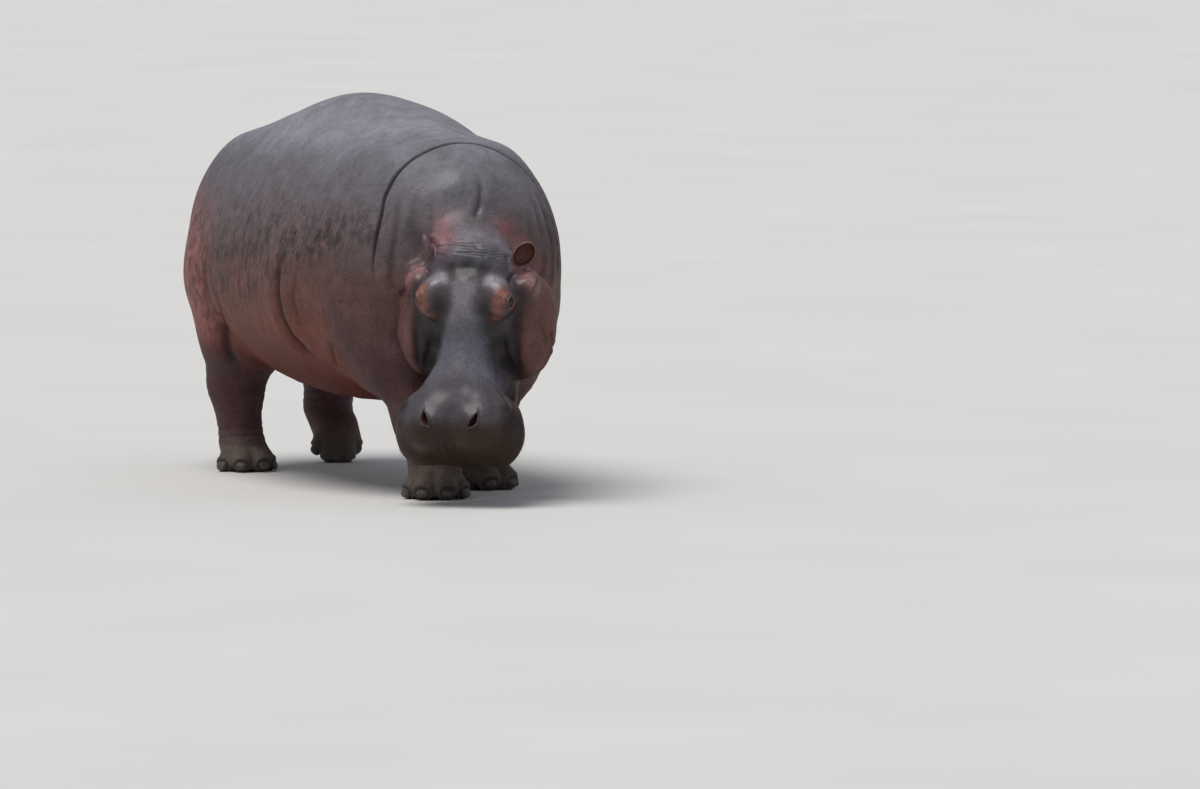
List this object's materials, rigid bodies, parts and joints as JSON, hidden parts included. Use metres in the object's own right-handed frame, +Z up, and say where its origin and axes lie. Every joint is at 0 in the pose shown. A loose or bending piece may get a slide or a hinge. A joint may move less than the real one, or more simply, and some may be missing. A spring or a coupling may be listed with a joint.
{
  "type": "hippopotamus",
  "caption": "Life-size adult hippopotamus in mid-stride, barrel-bodied on short legs, its broad-muzzled head lowered and turned to its right.",
  "frame": {"origin": "middle of the bounding box's bottom, on the floor under the belly", "axes": "the body faces -Y, its left side is +X, and +Z is up"},
  "size_m": [1.1146, 2.679, 1.5047],
  "materials": {
    "skin": "bare purple-grey skin, pinker below and on the jowls",
    "nails": "dull horn",
    "eyes": "wet gloss"
  },
  "bodies": {
    "root": {"trunk": "skin", "neck": "skin", "tail": "skin", "ear_left": "skin", "eye_left": "eyes", "ear_right": "skin", "eye_right": "eyes", "head": "skin", "lower_jaw": "skin", "foreleg_right_nail_1": "nails", "foreleg_right_nail_2": "nails", "foreleg_right_nail_3": "nails", "foreleg_right_nail_4": "nails", "foreleg_right_upper": "skin", "foreleg_right_lower": "skin", "foreleg_right_foot": "skin", "foreleg_left_nail_1": "nails", "foreleg_left_nail_2": "nails", "foreleg_left_nail_3": "nails", "foreleg_left_nail_4": "nails", "foreleg_left_upper": "skin", "foreleg_left_lower": "skin", "foreleg_left_foot": "skin", "hindleg_right_nail_1": "nails", "hindleg_right_nail_2": "nails", "hindleg_right_nail_3": "nails", "hindleg_right_nail_4": "nails", "hindleg_right_upper": "skin", "hindleg_right_lower": "skin", "hindleg_right_foot": "skin", "hindleg_left_nail_1": "nails", "hindleg_left_nail_2": "nails", "hindleg_left_nail_3": "nails", "hindleg_left_nail_4": "nails", "hindleg_left_upper": "skin", "hindleg_left_lower": "skin", "hindleg_left_foot": "skin"}
  },
  "joints": []
}
